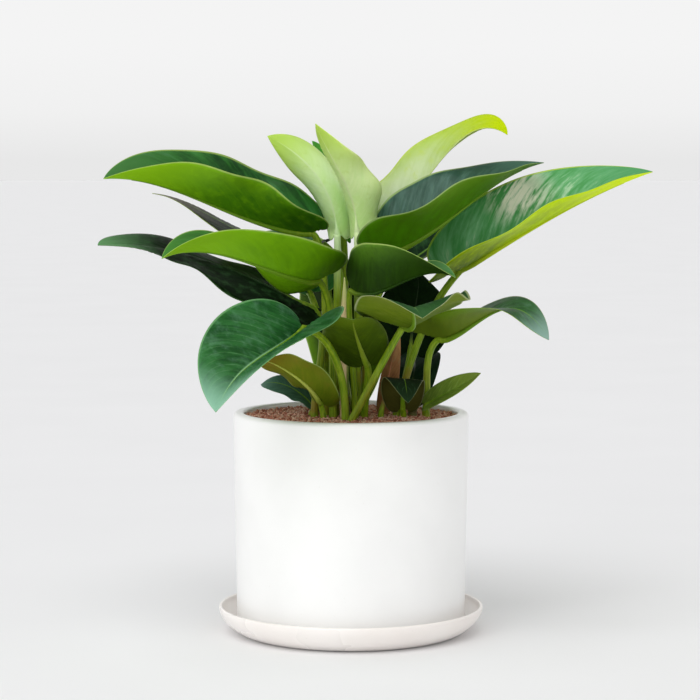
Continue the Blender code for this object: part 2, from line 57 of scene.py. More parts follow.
def makeCamera():
    data = bpy.data.cameras.new("photoCamera")
    data.sensor_width = viewer["sensor"]
    data.lens = viewer["sensor"] * photo["focal"] / photo["width"]
    data.clip_end = viewer["far"]
    camera = addObject("photoCamera", data)
    camera.location = viewer["place"]
    down = atan((photo["width"] / 2 - photo["horizon"]) / photo["focal"])
    camera.rotation_euler = (pi / 2 - down, 0, 0)
    bpy.context.scene.camera = camera


makeCamera()


# shader sockets with arithmetic

class Wire:
    def __init__(self, paint, socket):
        self.paint = paint
        self.socket = socket

    def calc(self, operation, *values):
        return self.paint.add("ShaderNodeMath", {"operation": operation}, dict(enumerate(values)))

    def __add__(self, other):
        return self.calc("ADD", self, other)

    __radd__ = __add__

    def __sub__(self, other):
        return self.calc("SUBTRACT", self, other)

    def __rsub__(self, other):
        return self.calc("SUBTRACT", other, self)

    def __mul__(self, other):
        return self.calc("MULTIPLY", self, other)

    def __pow__(self, other):
        return self.calc("POWER", self, other)

    def __abs__(self):
        return self.calc("ABSOLUTE", self)

    def step(self, low, high):    # smooth 0 to 1 between low and high, or back where low is larger
        ends = (low, high, 0, 1) if low < high else (high, low, 1, 0)
        values = dict(enumerate((self, *ends)))
        return self.paint.add("ShaderNodeMapRange", {"interpolation_type": "SMOOTHSTEP"}, values)


def setStops(ramp, stops):    # each stop: its place and its colour
    while len(ramp.elements) < len(stops):
        ramp.elements.new(0.5)
    for element, (place, colour) in zip(ramp.elements, stops):
        element.position = place
        element.color = (*colour, 1)


class Paint:
    def __init__(self, name):
        self.material = bpy.data.materials.new(name)
        self.material.use_nodes = True
        self.tree = self.material.node_tree
        self.shader = self.tree.nodes["Principled BSDF"]

    def add(self, kind, settings=None, values=None, output=0):
        node = self.tree.nodes.new(kind)
        for key, value in (settings or {}).items():
            if key == "stops":
                setStops(node.color_ramp, value)
            else:
                setattr(node, key, value)
        for key, value in (values or {}).items():
            self.feed(node.inputs[key], value)
        return Wire(self, node.outputs[output])

    def feed(self, socket, value):
        if isinstance(value, Wire):
            self.tree.links.new(value.socket, socket)
        elif socket.type == "RGBA":
            socket.default_value = (*value, 1)
        else:
            socket.default_value = value

    def set(self, **values):
        for name, value in values.items():
            self.feed(self.shader.inputs[shaderInputs[name]], value)

    def trait(self, name):    # a number kept on each point of the piece
        return self.add("ShaderNodeAttribute", {"attribute_name": name}, output=2)

    def spot(self):
        return self.add("ShaderNodeTexCoord", output=3)

    def place(self, shift=(0, 0, 0), scale=(1, 1, 1)):    # the piece's own coordinates, moved and stretched
        return self.add("ShaderNodeMapping", None, {"Vector": self.spot(), "Location": shift, "Scale": scale})

    def noise(self, scale, detail, rough, where=None):
        values = {"Vector": where or self.spot(), "Scale": scale, "Detail": detail, "Roughness": rough}
        return self.add("ShaderNodeTexNoise", None, values)

    def blend(self, share, first, second):
        return self.add("ShaderNodeMix", {"data_type": "RGBA"}, {0: share, 6: first, 7: second}, 2)

    def layers(self, colour, *layers):    # each layer: its share, and the colour it lays over the rest
        for share, over in layers:
            colour = self.blend(share, colour, over)
        return colour

    def bump(self, height, strength, distance):
        values = {"Height": height, "Strength": strength, "Distance": distance}
        return self.add("ShaderNodeBump", None, values)


shaderInputs = {"colour": "Base Color", "rough": "Roughness", "bump": "Normal", "coat": "Coat Weight",
                "coatRough": "Coat Roughness", "specular": "Specular IOR Level", "clear": "Subsurface Weight",
                "depth": "Subsurface Scale", "spread": "Subsurface Radius"}


def tint(red, green, blue):    # a screen colour, 0 to 255, as the shader wants it
    levels = (red / 255, green / 255, blue / 255)
    return tuple(((c + 0.055) / 1.055) ** 2.4 if c > 0.04 else c / 12.92 for c in levels)


# leaf finishes: screen colours of the top and the underside, Deep in the mottles and also at the base below,
# Tip towards the tip, underRim in the outer half below, rim on the margin itself, rib below and ribTop on top

plainLeaf = dict(
    top=(52, 118, 46), topDeep=(26, 70, 28), topTip=(74, 130, 66), ribTop=(110, 156, 84),
    # underTip and underRim are brighter yellow-green partly as the leaf's own colour and partly as painted
    # light shining through the blade
    under=(80, 134, 4), underDeep=(38, 96, 4), underTip=(136, 190, 8), underRim=(110, 160, 10),
    rib=(104, 144, 26), rim=(170, 196, 104), sheen=(92, 134, 104),
    bands=0.35,                # strength of the painted sheen streaks between the side veins, a painted reflection of the sky
    veins=0.10,                # strength of the side veins on top
    glare=0.0, glareFrom=0.2,    # strength of a painted glare patch on top, a painted highlight, and where it starts
    tipFrom=0.55,              # where the tip colour starts on top
    mottled=0.5, baseTo=0.45,  # share of mottling below, and where the base colour below has faded out
    gloss=0.36, shine=0.16,    # roughness and specular level
    clear=0.0)                 # light that passes through

leafLooks = {
    "leaf_upper_left": dict(under=(82, 138, 4), underTip=(142, 198, 8)),
    "leaf_rear_left_tip": dict(
        top=(40, 48, 32), topDeep=(26, 36, 22), topTip=(104, 98, 84), under=(54, 58, 40),
        underDeep=(30, 36, 22), underTip=(96, 92, 76), shine=0.04),
    # painted shade: these very dark greens are partly the leaf's own colour and partly shade painted in, and
    # the pale topTip is a painted sky reflection
    "leaf_long_left": dict(
        top=(14, 34, 11), topDeep=(8, 22, 6), topTip=(98, 152, 96), under=(18, 36, 8), underDeep=(9, 22, 4),
        underTip=(32, 56, 24), underRim=(22, 42, 10), rim=(70, 100, 56), rib=(28, 54, 16),
        ribTop=(28, 54, 22), sheen=(40, 64, 34), tipFrom=0.66, shine=0.02),
    "leaf_front_left": dict(
        top=(60, 124, 44), topTip=(76, 140, 56), under=(116, 172, 4), underDeep=(88, 140, 6),
        underTip=(132, 184, 8), underRim=(120, 176, 10)),
    # painted sheen: the pale grey-green topTip is a painted sky reflection near the tip, and the pale ribTop
    # is partly a painted highlight along the midrib
    "leaf_drooping_left": dict(
        top=(48, 112, 52), topDeep=(26, 80, 34), topTip=(142, 192, 164), rim=(120, 176, 116),
        ribTop=(156, 206, 152), bands=0.22, veins=0.16, tipFrom=0.69),
    "leaf_small_left": dict(
        top=(60, 92, 40), under=(124, 136, 26), underDeep=(88, 116, 14), underTip=(136, 118, 34),
        underRim=(116, 122, 28), rib=(190, 200, 90)),
    "leaf_low_left": dict(
        top=(70, 104, 86), topDeep=(50, 82, 64), topTip=(80, 120, 100), under=(40, 68, 50),
        underDeep=(26, 50, 34), rim=(110, 140, 110), shine=0.08),
    "leaf_young_left": dict(
        top=(170, 214, 108), topDeep=(140, 198, 84), topTip=(176, 214, 100), under=(220, 250, 188),
        underDeep=(198, 236, 150), underTip=(180, 216, 92), underRim=(196, 230, 130), rim=(220, 240, 170),
        rib=(218, 244, 184), ribTop=(200, 230, 160), gloss=0.42, veins=0.06, clear=0.4, mottled=0.4),
    "leaf_behind_young": dict(
        top=(124, 196, 60), topDeep=(84, 168, 44), topTip=(70, 160, 40), under=(110, 190, 50),
        underDeep=(70, 150, 36), underTip=(76, 170, 36), rim=(110, 180, 70), shine=0.04),
    "leaf_young_middle": dict(
        top=(176, 210, 96), topDeep=(146, 196, 76), topTip=(186, 212, 92), under=(228, 255, 184),
        underDeep=(198, 240, 144), underTip=(180, 212, 90), underRim=(212, 238, 150), rim=(222, 240, 164),
        rib=(224, 244, 180), ribTop=(196, 224, 130), gloss=0.42, veins=0.06, clear=0.4, mottled=0.4),
    # painted highlight: the near-white underDeep, spread to baseTo, is partly the young leaf's pale colour
    # and partly a painted gloss highlight
    "leaf_young_right": dict(
        top=(160, 194, 60), topDeep=(130, 176, 48), topTip=(190, 212, 20), under=(136, 170, 42),
        underDeep=(244, 254, 226), underTip=(182, 206, 0), underRim=(160, 192, 60), rim=(196, 220, 80),
        rib=(216, 236, 150), ribTop=(196, 216, 96), gloss=0.4, veins=0.05, shine=0.04, clear=0.4,
        mottled=0.15, baseTo=0.85),
    # painted reflection: the grey-blue top, topDeep and sheen are partly the leaf's own green and partly
    # painted sky reflection
    "leaf_upper_right": dict(
        top=(72, 106, 92), topDeep=(46, 78, 64), topTip=(66, 104, 84), under=(74, 118, 6),
        underDeep=(88, 156, 6), underTip=(82, 124, 12), underRim=(104, 144, 24), rim=(170, 196, 120),
        sheen=(96, 126, 118), gloss=0.3, veins=0.12),
    # painted light on this leaf: the white sheen streaks and the glare patch on top are painted highlights,
    # and the yellow underTip and underRim below are partly painted light shining through the blade
    "leaf_long_right": dict(
        top=(132, 196, 142), topDeep=(82, 158, 86), topTip=(86, 158, 100), under=(192, 226, 0),
        underDeep=(84, 112, 12), underTip=(226, 252, 0), underRim=(206, 238, 4), rim=(198, 224, 74),
        rib=(186, 206, 20), ribTop=(170, 214, 150), sheen=(250, 248, 226), bands=0.4, glare=0.95,
        glareFrom=0.25, gloss=0.28, veins=0.2, shine=0.04, mottled=0.35),
    "leaf_front_right": dict(
        top=(44, 90, 36), under=(58, 98, 14), underDeep=(24, 48, 5), underTip=(48, 80, 14),
        underRim=(104, 152, 40), rib=(44, 78, 14)),
    "leaf_front_low_right": dict(
        top=(42, 80, 38), topDeep=(30, 60, 28), topTip=(50, 92, 46), under=(104, 124, 28),
        underDeep=(70, 96, 12), underTip=(130, 142, 60), underRim=(100, 124, 30), rim=(180, 188, 140),
        bands=0.05, shine=0.02),
    # painted sheen: the pale grey-green topTip is a painted sky reflection near the tip
    "leaf_arching_right": dict(
        top=(48, 100, 46), topDeep=(28, 70, 30), topTip=(140, 174, 162), under=(110, 132, 32),
        underDeep=(92, 114, 22), underTip=(70, 118, 36), tipFrom=0.7),
    # painted shade: these near-black greens are partly the leaf's own colour and partly shade painted in
    "leaf_dark_rear": dict(
        top=(16, 34, 12), topDeep=(10, 22, 8), topTip=(18, 38, 16), under=(16, 34, 10),
        underDeep=(10, 22, 6), underTip=(20, 38, 12), underRim=(16, 34, 12), rim=(26, 46, 22),
        rib=(24, 44, 18), ribTop=(20, 38, 16), bands=0.0, gloss=0.56, veins=0.03, shine=0.02),
    "leaf_front_cupped": dict(
        under=(72, 98, 4), underDeep=(48, 70, 4), underTip=(96, 122, 10), underRim=(70, 92, 6),
        rim=(104, 124, 50), rib=(128, 150, 40)),
    "leaf_low_right": dict(
        top=(126, 152, 54), topDeep=(96, 124, 40), topTip=(120, 142, 56), under=(110, 128, 48),
        underDeep=(84, 104, 34), underTip=(120, 136, 56), rim=(140, 160, 84), ribTop=(126, 150, 70)),
    "leaf_curled_low": dict(
        top=(30, 48, 28), topDeep=(20, 34, 18), topTip=(34, 54, 32), under=(84, 84, 34),
        underDeep=(60, 60, 22), underTip=(56, 56, 20), underRim=(50, 50, 18), rim=(136, 144, 100),
        ribTop=(64, 86, 50), shine=0.05),
    # painted shade: these near-black greens are partly the leaf's own colour and partly shade painted in
    "leaf_low_rear_right": dict(
        top=(30, 56, 34), topDeep=(20, 42, 22), topTip=(28, 48, 32), under=(30, 54, 18),
        underDeep=(20, 38, 12), underTip=(26, 46, 18), underRim=(18, 34, 12), rim=(36, 56, 32),
        rib=(30, 50, 20), ribTop=(30, 50, 26), bands=0.05, gloss=0.62, veins=0.03, shine=0.02),
    "leaf_back_left": dict(),
    "leaf_back_middle": dict(
        top=(30, 62, 34), topDeep=(16, 40, 22), under=(24, 46, 20), underDeep=(14, 32, 14), shine=0.05),
    "leaf_back_low": dict(
        top=(24, 54, 20), topDeep=(14, 36, 12), under=(36, 60, 8), underDeep=(22, 42, 4),
        underTip=(40, 64, 12), shine=0.05),
    "leaf_sheath": dict(
        top=(140, 96, 56), topDeep=(110, 72, 40), topTip=(180, 136, 84), under=(186, 116, 90),
        underDeep=(140, 84, 62), underTip=(222, 158, 112), underRim=(170, 110, 80), rim=(190, 140, 110),
        rib=(170, 110, 80), ribTop=(150, 100, 70), gloss=0.5),
}

# side veins: how many, how far towards the tip and how curved they run, half width, height of the relief
veins = {"count": 17, "sweep": 0.30, "bow": 1.25, "line": 0.10, "depth": 0.00035}

skin = {"broad": 14, "fine": 90, "grain": 900, "streak": 1.15,    # scales of the noises
        "lane": 1.6, "waver": 0.012, "streakShare": 0.6,
        "ribWidth": (0.050, 0.014), "margin": (0.955, 0.985),    # in shares of a half blade
        "glareLength": 0.36, "bump": 0.30,
        "depth": 0.003, "spread": (1.0, 1.0, 0.6)}    # light that passes through a blade


def leafFinish(name, look, seed):
    paint = Paint(name)
    along = paint.trait("along")
    out = abs(paint.trait("across"))
    under = paint.trait("under")
    shade = {key: tint(*value) for key, value in look.items() if isinstance(value, tuple)}
    where = paint.place((seed, seed * 2, 0))
    broad = paint.noise(skin["broad"], 2, 0.5, where)
    fine = paint.noise(skin["fine"], 4, 0.6, where)
    grain = paint.noise(skin["grain"], 2, 0.5, where)
    run = (along - out ** veins["bow"] * veins["sweep"] + (broad - 0.5) * skin["waver"]) * veins["count"]
    sideVein = run.calc("PINGPONG", run, 0.5)
    lane = paint.add("ShaderNodeCombineXYZ", None, {0: run, 1: out * skin["lane"], 2: under * 7 + seed})
    streak = paint.noise(skin["streak"], 4, 0.65, lane)    # bands that run with the side veins
    mottle = broad * (1 - skin["streakShare"]) + streak * skin["streakShare"]
    line = sideVein.step(veins["line"], 0.0) * out.step(1.0, 0.55) * along.step(0.01, 0.1)
    line = line * streak.step(0.35, 0.6)
    rib = out.step(*skin["ribWidth"]) * along.step(1.02, 0.70)

    # painted reflection: streaks of the sheen colour between the side veins stand for sky reflected on top
    topLayers = [(along.step(look["tipFrom"], 1.0), shade["topTip"]),
                 (streak.step(0.56, 0.72) * look["bands"], shade["sheen"])]
    if look["glare"]:    # a painted glare patch part way along, a painted highlight in the sheen colour
        start = look["glareFrom"]
        end = start + skin["glareLength"]
        glarePatch = along.step(start, start + 0.12) * along.step(end, end - 0.18) * out.step(0.15, 0.5)
        topLayers.append((streak.step(0.40, 0.56) * glarePatch * look["glare"], shade["sheen"]))
    topColour = paint.layers(
        paint.blend(mottle.step(0.40, 0.60), shade["topDeep"], shade["top"]), *topLayers,
        (fine.step(0.42, 0.80) * 0.20, shade["topTip"]),
        (line * look["veins"], shade["ribTop"]),
        (rib * 0.8, shade["ribTop"]))

    mottled = look["mottled"]
    fromBase = along.step(0.0, look["baseTo"]) * (1 - mottled)
    darkSpecks = fine.step(0.48, 0.30) * along.step(0.75, 0.35)
    lowColour = paint.layers(
        paint.blend(mottle.step(0.36, 0.64) * mottled + fromBase, shade["underDeep"], shade["under"]),
        # painted light shining through: brighter yellow-green below towards the rim and the tip
        (out.step(0.45, 1.0) * along.step(0.05, 0.45) * 0.7, shade["underRim"]),
        (along.step(0.40, 0.95), shade["underTip"]),
        (line * 0.10, shade["underTip"]),
        (fine.step(0.50, 0.75) * 0.30, shade["underTip"]),
        (darkSpecks * mottled * 0.7, shade["underDeep"]),
        (rib * 0.6, shade["rib"]))

    # rim: a pale margin line, partly the leaf's own edge colour and partly a painted edge highlight
    colour = paint.layers(topColour, (under, lowColour), (out.step(*skin["margin"]) * 0.75, shade["rim"]))
    rough = look["gloss"] + fine * 0.10 + under * 0.12 - line * 0.04
    height = (1 - line) * 0.6 + streak * 1.6 + grain * 0.10 + fine * 0.35
    paint.set(colour=colour, rough=rough, bump=paint.bump(height, skin["bump"], veins["depth"]),
              specular=look["shine"], clear=look["clear"], depth=skin["depth"], spread=skin["spread"])
    return paint.material


# groove is the colour of dark stripes along a stalk: painted shade for its shaded sides
stalkLook = {"low": (128, 156, 16), "high": (134, 168, 34), "red": (150, 90, 44), "streak": (184, 200, 64),
             "groove": (70, 112, 12), "gloss": 0.36, "shine": 0.2, "stretch": 0.12}


def stalkFinish(name, seed, ribColour, fades):    # fades: where the stalk turns into the rib of the blade
    paint = Paint(name)
    along = paint.trait("along")
    streaks = paint.noise(260, 3, 0.6, paint.place((seed, 0, 0), (1, 1, stalkLook["stretch"])))
    patches = paint.noise(30, 2, 0.5)
    lane = paint.add("ShaderNodeCombineXYZ", None, {0: paint.trait("across") * 2.5, 1: along * 3, 2: seed})
    # painted shade: dark stripes along the stalk
    shadeStripes = paint.noise(1.3, 2, 0.5, lane)
    shade = {key: tint(*value) for key, value in stalkLook.items() if isinstance(value, tuple)}
    colour = paint.layers(
        paint.blend(along.step(0.0, 0.8), shade["low"], shade["high"]),
        (shadeStripes.step(0.44, 0.60) * 0.55, shade["groove"]),
        (streaks.step(0.45, 0.75) * 0.45, shade["streak"]),
        (patches.step(0.45, 0.70) * along.step(0.35, 0.05) * 0.5, shade["red"]),
        (along.step(*fades), tint(*ribColour)))
    paint.set(colour=colour, rough=stalkLook["gloss"] + streaks * 0.15,
              bump=paint.bump(streaks, 0.25, 0.0004), specular=stalkLook["shine"])
    return paint.material


# plain finishes: two colours mixed by one noise, which also makes the relief

grainLooks = {
    "stemFinish": dict(noise=(55, 3, 0.6), stretch=(0.3, 0.3, 3), mixed=(0.35, 0.65), dark=(96, 84, 40),
                       light=(112, 118, 52), rough=0.65, bump=(0.5, 0.001), shine=0.5),
    "mixFinish": dict(noise=(300, 4, 0.7), stretch=(1, 1, 1), mixed=(0.35, 0.65), dark=(40, 28, 20),
                      light=(86, 62, 44), rough=0.95, bump=(0.8, 0.002), shine=0.5),
    "bedFinish": dict(noise=(500, 3, 0.6), stretch=(1, 1, 1), mixed=(0.3, 0.7), dark=(34, 18, 14),
                      light=(74, 42, 32), rough=0.95, bump=(0.6, 0.001), shine=0.1),
}


def grainFinish(name):
    look = grainLooks[name]
    paint = Paint(name)
    grain = paint.noise(*look["noise"], paint.place(scale=look["stretch"]))
    colour = paint.blend(grain.step(*look["mixed"]), tint(*look["dark"]), tint(*look["light"]))
    paint.set(colour=colour, rough=look["rough"], bump=paint.bump(grain, *look["bump"]),
              specular=look["shine"])
    return paint.material


# shape of a leaf: what all leaves share, with lengths in metres

blade = {"thickness": 0.0008, "stations": 80, "samples": 200, "taper": 0.85, "waves": 2.5, "leastCurl": 0.06,
         "lobeRise": 0.3, "lobeFall": 6, "sweep": 1.5, "start": 0.006, "tipHalf": 0.0004,
         "rows": 88, "rowSpread": 1.35, "columns": 13, "columnSpread": 1.3,
         "firstSeed": 0.5, "seedStep": 1.37}
relief = {"pucker": 0.00045, "ripple": 0.0012, "forWidth": 60,    # heights for a half width of 60 mm
          "ripples": (5, 2), "calmRib": 0.15, "calmEdge": 0.2,
          "groove": 0.0005, "grooveHalf": 0.03, "grooveEnd": 0.3, "thinEdge": 0.55, "thinPower": 8}
stalk = {"radii": (0.0044, 0.0037), "slimRadii": (0.0035, 0.0029), "slimUnder": 30,    # half width in mm
         "sides": 14, "points": 34, "ribPoints": 40, "ribShare": 0.86, "youngRib": 0.16, "ribEnd": 0.0005,
         "ribTaper": 1.6, "ribSink": 0.62, "sinkOver": 0.06, "ribFades": (0.44, 0.60),
         "youngFades": (0.26, 0.46), "leastRise": 0.4, "follow": 0.6, "rootRing": 0.45}
soilTop = 0.241
rootDepth = 0.018

# sizes of each leaf, as in the solids, in millimetres and degrees: lift, sway and roll from base to tip, fold
# from base to tip on either side, and curl, wave and lobe on the left and on the right

plainSize = dict(sway=(0, 0), curl=(0, 0), curlTip=(0, 0), wave=(0, 0), lobe=(0.09, 0.09), blunt=0.42,
                 rightShare=1.0, lean=0.55, reach=(0.38, 0.30))

leaves = {
    "leaf_upper_left": dict(
        foot=(-27.5, 2.5), collar=(-42, 5, 441), tip=(-264, -75, 502), lift=(-13, 26), sway=(25, 29),
        width=66, roll=(20, 12), fold=((43, 47), (32, 42)), curl=(15, 7), curlTip=(40, 20), wave=(-4.5, 5),
        lobe=(0.09, 0.075), blunt=0.45, reach=(0.38, 0.12)),
    "leaf_rear_left_tip": dict(
        foot=(-24, 12), collar=(-38, 60, 431), tip=(-226, 96, 484), lift=(-42, 9), sway=(0, 10), width=50,
        roll=(3, -4), fold=((-5, 4), (-4, 3)), curl=(-12, -12), curlTip=(-10, -16), wave=(0.5, 2)),
    "leaf_long_left": dict(
        foot=(-40, -10), collar=(-42, -5, 360), tip=(-274, -42, 430), lift=(15, 30), sway=(5, 76), width=68,
        roll=(2, 11), fold=((-24, 8), (-2, 8)), wave=(4, -4.5), lobe=(0.12, 0.12)),
    "leaf_front_left": dict(
        foot=(-20, -18), collar=(-35, -50, 392), tip=(-196, -156, 420), lift=(-10, 34), sway=(-33, 9),
        width=53, roll=(1, 23), fold=((41, 54), (-30, 48)), curl=(12, 19), curlTip=(-1, 20), wave=(-1, 1),
        lobe=(0.16, 0.16), lean=0.2),
    "leaf_drooping_left": dict(
        foot=(-6, -42), collar=(-51, -100, 344), tip=(-133, -298, 275), lift=(-6, 24), sway=(11, 7),
        width=62, roll=(28, -2), fold=((44, 27), (42, 22)), wave=(0, 0.5), lobe=(0.22, 0.02), blunt=0.52,
        lean=0.0, reach=(0.5, 0.34)),
    "leaf_small_left": dict(
        foot=(-30, -28), collar=(-33, -30, 256), tip=(-93, -90, 308), lift=(9, 19), sway=(-15, 33), width=28,
        roll=(27, 6), fold=((35, 19), (16, -1)), wave=(-2.5, 2.5)),
    "leaf_low_left": dict(
        foot=(-44, 12), collar=(-42, 20, 247), tip=(-101, 48, 270), lift=(10, 20), sway=(12, -16), width=21,
        roll=(-22, 8), fold=((0, -4), (4, 5)), wave=(1, 0)),
    "leaf_young_left": dict(
        foot=(-17, 1), collar=(-15, 0, 440), tip=(-91, -12, 548), lift=(27, 24), sway=(-3, 4), width=36,
        roll=(-42, -58), fold=((20, 4), (20, 4)), curl=(96, 100), curlTip=(60, 56), wave=(-0.5, 0.5),
        lobe=(0.07, 0.07), rightShare=0.8, reach=(0.38, 0.12)),
    "leaf_behind_young": dict(
        foot=(-8, 24), collar=(-9, 65, 439), tip=(-43, 38, 543), lift=(0, 5), width=47, roll=(40, 56),
        fold=((15, 10), (8, 8)), wave=(0, 1.5), reach=(0.38, 0.12)),
    "leaf_young_middle": dict(
        foot=(7, -10), collar=(7, -20, 443), tip=(-38, -51, 561), lift=(20, -8), sway=(1, -14), width=35,
        roll=(-79, -57), fold=((12, 2), (12, 2)), curl=(100, 88), curlTip=(50, 52), wave=(5, 0.5),
        lobe=(0.08, 0.08)),
    "leaf_young_right": dict(
        foot=(4, 15), collar=(20, 55, 442), tip=(167, -68, 549), lift=(-44, 89), sway=(31, -44), width=43,
        roll=(14, 97), fold=((95, 95), (20, 47)), curl=(10, 10), curlTip=(10, 13), wave=(0, -6),
        lobe=(0.07, 0.07), reach=(0.38, 0.08)),
    "leaf_upper_right": dict(
        foot=(14, 4), collar=(42, -15, 420), tip=(212, 5, 519), lift=(-6, 21), sway=(54, 22), width=64,
        roll=(-25, -37), fold=((53, 16), (58, 13)), curl=(19, 0), curlTip=(2, -2), wave=(2.5, 5.5),
        lobe=(0.12, 0.12)),
    "leaf_long_right": dict(
        foot=(50, 4), collar=(122, 20, 400), tip=(332, 6, 509), lift=(6, 11), sway=(32, -1), width=60,
        roll=(-55, -46), fold=((43, 21), (58, 46)), curl=(13, 0), curlTip=(7, 0), wave=(0, 3.5),
        lobe=(0.15, 0.15)),
    "leaf_front_right": dict(
        foot=(5, -20), collar=(0, -35, 381), tip=(106, -217, 403), lift=(-23, 26), sway=(4, 0), width=28,
        roll=(38, 5), fold=((62, 66), (36, 21)), curl=(0, 17), curlTip=(0, 24), wave=(0, -1.5),
        lobe=(0.06, 0.055), rightShare=1.98, reach=(0.38, 0.12)),
    "leaf_front_low_right": dict(
        foot=(1, -52), collar=(57, -62, 343), tip=(70, -293, 367), lift=(-12, 35), sway=(-17, 14), width=64,
        roll=(-24, 3), fold=((9, 7), (39, 18)), wave=(-7.5, 1.5), lobe=(0.11, 0.11), lean=1.0,
        reach=(0.3, 0.1)),
    "leaf_arching_right": dict(
        foot=(83, 4), collar=(97, 8, 324), tip=(214, -53, 328), lift=(1, 77), sway=(6, 2), width=38,
        roll=(7, -26), fold=((38, -3), (44, -11)), wave=(-0.5, -1), lobe=(0.15, 0.26), rightShare=1.15),
    "leaf_dark_rear": dict(
        foot=(54, 18), collar=(67, 48, 308), tip=(78, 114, 394), lift=(21, 14), sway=(1, 6), width=42,
        roll=(-17, -35), fold=((5, 3), (11, -3)), wave=(0, -2)),
    "leaf_front_cupped": dict(
        foot=(14.5, -16.5), collar=(18, -37, 299), tip=(2, -131, 355), lift=(11, 13), sway=(7, 7), width=32,
        roll=(-17, -25), fold=((10, 14), (14, 32)), curl=(6, 7), curlTip=(11, 0), wave=(0, 4.5),
        lobe=(0.05, 0.05), rightShare=1.3),
    "leaf_low_right": dict(
        foot=(84, -14), collar=(83, -10, 253), tip=(141, -43, 291), lift=(1, -1), sway=(1, -8), width=16,
        roll=(-52, -59), fold=((17, 20), (20, 20))),
    "leaf_curled_low": dict(
        foot=(58, -13), collar=(57, -19, 251), tip=(61, -90, 263), lift=(34, 42), sway=(2, 2), width=24,
        roll=(-2, 2), fold=((0, 0), (0, 0))),
    "leaf_low_rear_right": dict(
        foot=(68, 48), collar=(66, 62, 254), tip=(82, 160, 320), lift=(48, -34), sway=(14, -15), width=32,
        roll=(-45, -57), fold=((9, 7), (15, 9))),
    "leaf_back_left": dict(
        foot=(-22, 28), collar=(-46, 66, 372), tip=(-165, 232, 420), lift=(20, 34), sway=(6, 10), width=56,
        roll=(6, -8), fold=((26, 18), (26, 18)), curl=(12, 12), curlTip=(6, 6), wave=(2, -2)),
    "leaf_back_middle": dict(
        foot=(12, 30), collar=(40, 72, 386), tip=(170, 210, 446), lift=(10, 26), sway=(0, 8), width=50,
        roll=(-6, -10), fold=((24, 16), (24, 16)), curl=(10, 10), curlTip=(6, 6), wave=(-2, 2)),
    "leaf_back_low": dict(
        foot=(-2, 50), collar=(-26, 92, 377), tip=(-2, 150, 214), lift=(10, 14), width=57, roll=(0, 0),
        fold=((20, 12), (20, 12)), curl=(8, 8), curlTip=(4, 4), wave=(1.5, -1.5)),
    "leaf_sheath": dict(
        foot=(33, -14), collar=(34, -15, 249), tip=(54, -18, 331), lift=(0, 4), width=12, roll=(-80, -80),
        fold=((-25, -20), (-25, -20)), curl=(-10, -10)),
}


def unit(v):
    return v / np.maximum(np.linalg.norm(v, axis=-1, keepdims=True), 1e-12)


def bezier(p0, p1, p2, p3, count):
    t = np.linspace(0, 1, count)[:, None]
    return (1 - t) ** 3 * p0 + 3 * (1 - t) ** 2 * t * p1 + 3 * (1 - t) * t * t * p2 + t ** 3 * p3


def hump(share, rise, fall):    # 0 at both ends, 1 at its highest
    peak = rise / (rise + fall)
    return (share / peak) ** rise * (np.maximum(1 - share, 0) / (1 - peak)) ** fall


def fade(distance, over):    # 0 to 1 over this distance
    return np.clip(distance / over, 0, 1)


def evenPoints(points, count):
    steps = np.linalg.norm(np.diff(points, axis=0), axis=1)
    run = np.concatenate([[0.0], np.cumsum(steps)])
    wanted = np.linspace(0, run[-1], count)
    return np.stack([np.interp(wanted, run, points[:, k]) for k in range(3)], axis=1)


